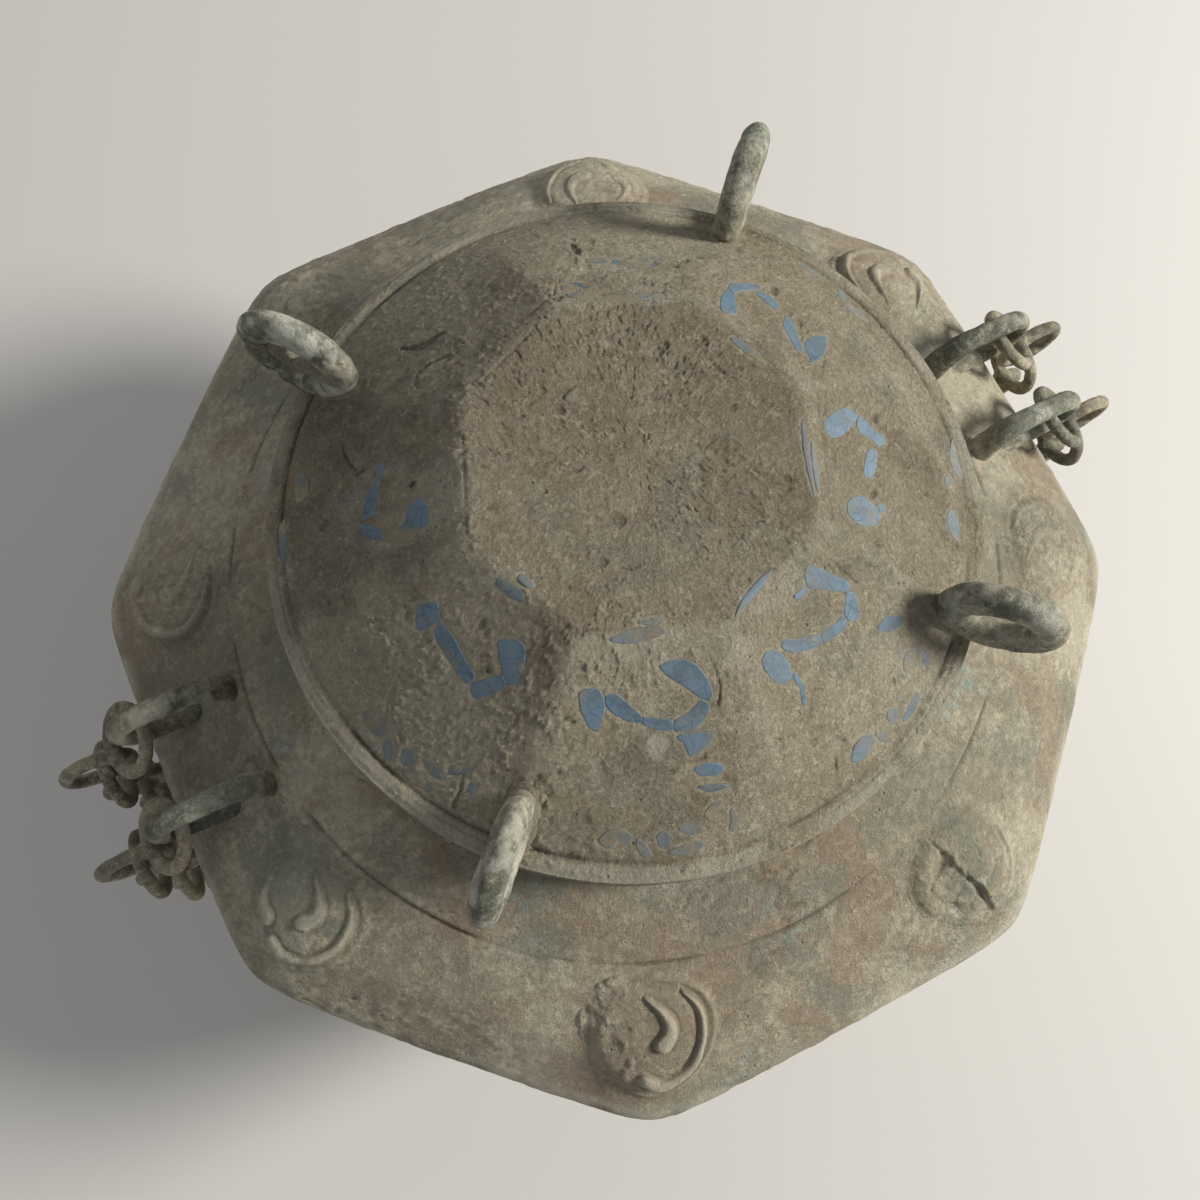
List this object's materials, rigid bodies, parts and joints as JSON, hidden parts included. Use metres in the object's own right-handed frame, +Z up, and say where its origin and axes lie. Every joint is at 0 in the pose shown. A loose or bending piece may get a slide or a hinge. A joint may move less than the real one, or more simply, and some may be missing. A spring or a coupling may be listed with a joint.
{
  "type": "lidded bronze container",
  "caption": "Octagonal lidded vessel with a round cap lid, standing lid rings, whorl bosses, blue scroll inlay and hanging link-chain handles.",
  "frame": {"origin": "centre of the foot, on the plane it rests on", "axes": "+Z up, +X towards the right-hand chain, +Y away from the viewer's side"},
  "size_m": [0.415, 0.35, 0.2973],
  "materials": {
    "vessel_bronze": "earthy patina, rough",
    "lid_bronze": "earthy patina with soil crust, rough",
    "ring_bronze": "grey-green patina, worn",
    "chain_bronze": "dark grey-green patina",
    "inlay": "dull blue stone"
  },
  "bodies": {
    "vessel": {"vessel_body": "vessel_bronze", "right_back_lug": "ring_bronze", "right_front_lug": "ring_bronze", "left_back_lug": "ring_bronze", "left_front_lug": "ring_bronze"},
    "lid": {"lid": "lid_bronze", "scroll_inlay_1": "inlay", "border_inlay_1": "inlay", "rim_inlay_1": "inlay", "scroll_inlay_2": "inlay", "border_inlay_2": "inlay", "rim_inlay_2": "inlay", "scroll_inlay_3": "inlay", "border_inlay_3": "inlay", "rim_inlay_3": "inlay", "scroll_inlay_4": "inlay", "border_inlay_4": "inlay", "rim_inlay_4": "inlay", "scroll_inlay_5": "inlay", "border_inlay_5": "inlay", "rim_inlay_5": "inlay", "scroll_inlay_6": "inlay", "border_inlay_6": "inlay", "rim_inlay_6": "inlay", "scroll_inlay_7": "inlay", "border_inlay_7": "inlay", "rim_inlay_7": "inlay", "scroll_inlay_8": "inlay", "border_inlay_8": "inlay", "rim_inlay_8": "inlay", "lid_ring_1": "ring_bronze", "lid_ring_2": "ring_bronze", "lid_ring_3": "ring_bronze", "lid_ring_4": "ring_bronze"},
    "right_back_link_1": {"right_back_link_1": "chain_bronze"},
    "right_back_link_2": {"right_back_link_2": "chain_bronze"},
    "right_back_link_3": {"right_back_link_3": "chain_bronze"},
    "right_front_link_1": {"right_front_link_1": "chain_bronze"},
    "right_front_link_2": {"right_front_link_2": "chain_bronze"},
    "right_front_link_3": {"right_front_link_3": "chain_bronze"},
    "right_bottom_link": {"right_bottom_link": "chain_bronze"},
    "left_back_link_1": {"left_back_link_1": "chain_bronze"},
    "left_back_link_2": {"left_back_link_2": "chain_bronze"},
    "left_back_link_3": {"left_back_link_3": "chain_bronze"},
    "left_front_link_1": {"left_front_link_1": "chain_bronze"},
    "left_front_link_2": {"left_front_link_2": "chain_bronze"},
    "left_front_link_3": {"left_front_link_3": "chain_bronze"},
    "left_bottom_link": {"left_bottom_link": "chain_bronze"}
  },
  "joints": [
    {"name": "lid_lift", "type": "slide", "parent": "vessel", "child": "lid", "axis": [0, 0, 1], "range_m": [0, 0.12]},
    {"name": "right_back_link_1_swing", "type": "hinge", "parent": "vessel", "child": "right_back_link_1", "pos_m": [0.1665, 0.01775, 0.205], "axis": [0, -1, 0], "range_deg": [0, 85]},
    {"name": "right_back_link_2_swing", "type": "hinge", "parent": "right_back_link_1", "child": "right_back_link_2", "pos_m": [0.19387, 0.01775, 0.17763], "axis": [0, -1, 0], "range_deg": [0, 40]},
    {"name": "right_back_link_3_swing", "type": "hinge", "parent": "right_back_link_2", "child": "right_back_link_3", "pos_m": [0.19387, 0.01775, 0.13744], "axis": [0, -1, 0], "range_deg": [-8, 40]},
    {"name": "right_front_link_1_swing", "type": "hinge", "parent": "vessel", "child": "right_front_link_1", "pos_m": [0.1665, -0.01775, 0.205], "axis": [0, -1, 0], "range_deg": [0, 85]},
    {"name": "right_front_link_2_swing", "type": "hinge", "parent": "right_front_link_1", "child": "right_front_link_2", "pos_m": [0.19387, -0.01775, 0.17763], "axis": [0, -1, 0], "range_deg": [0, 40]},
    {"name": "right_front_link_3_swing", "type": "hinge", "parent": "right_front_link_2", "child": "right_front_link_3", "pos_m": [0.19387, -0.01775, 0.13744], "axis": [0, -1, 0], "range_deg": [-8, 40]},
    {"name": "right_bottom_link_swing", "type": "hinge", "parent": "right_back_link_3", "child": "right_bottom_link", "pos_m": [0.19387, 0.01775, 0.09724], "axis": [0, -1, 0], "range_deg": [-35, 35]},
    {"name": "left_back_link_1_swing", "type": "hinge", "parent": "vessel", "child": "left_back_link_1", "pos_m": [-0.1665, 0.01775, 0.205], "axis": [0, 1, 0], "range_deg": [0, 85]},
    {"name": "left_back_link_2_swing", "type": "hinge", "parent": "left_back_link_1", "child": "left_back_link_2", "pos_m": [-0.19387, 0.01775, 0.17763], "axis": [0, 1, 0], "range_deg": [0, 40]},
    {"name": "left_back_link_3_swing", "type": "hinge", "parent": "left_back_link_2", "child": "left_back_link_3", "pos_m": [-0.19387, 0.01775, 0.13744], "axis": [0, 1, 0], "range_deg": [-8, 40]},
    {"name": "left_front_link_1_swing", "type": "hinge", "parent": "vessel", "child": "left_front_link_1", "pos_m": [-0.1665, -0.01775, 0.205], "axis": [0, 1, 0], "range_deg": [0, 85]},
    {"name": "left_front_link_2_swing", "type": "hinge", "parent": "left_front_link_1", "child": "left_front_link_2", "pos_m": [-0.19387, -0.01775, 0.17763], "axis": [0, 1, 0], "range_deg": [0, 40]},
    {"name": "left_front_link_3_swing", "type": "hinge", "parent": "left_front_link_2", "child": "left_front_link_3", "pos_m": [-0.19387, -0.01775, 0.13744], "axis": [0, 1, 0], "range_deg": [-8, 40]},
    {"name": "left_bottom_link_swing", "type": "hinge", "parent": "left_back_link_3", "child": "left_bottom_link", "pos_m": [-0.19387, 0.01775, 0.09724], "axis": [0, 1, 0], "range_deg": [-35, 35]}
  ],
  "couplings": [
    {"joint": "right_front_link_1_swing", "follows": "right_back_link_1_swing", "ratio": 1},
    {"joint": "right_front_link_2_swing", "follows": "right_back_link_2_swing", "ratio": 1},
    {"joint": "right_front_link_3_swing", "follows": "right_back_link_3_swing", "ratio": 1},
    {"joint": "left_front_link_1_swing", "follows": "left_back_link_1_swing", "ratio": 1},
    {"joint": "left_front_link_2_swing", "follows": "left_back_link_2_swing", "ratio": 1},
    {"joint": "left_front_link_3_swing", "follows": "left_back_link_3_swing", "ratio": 1}
  ]
}
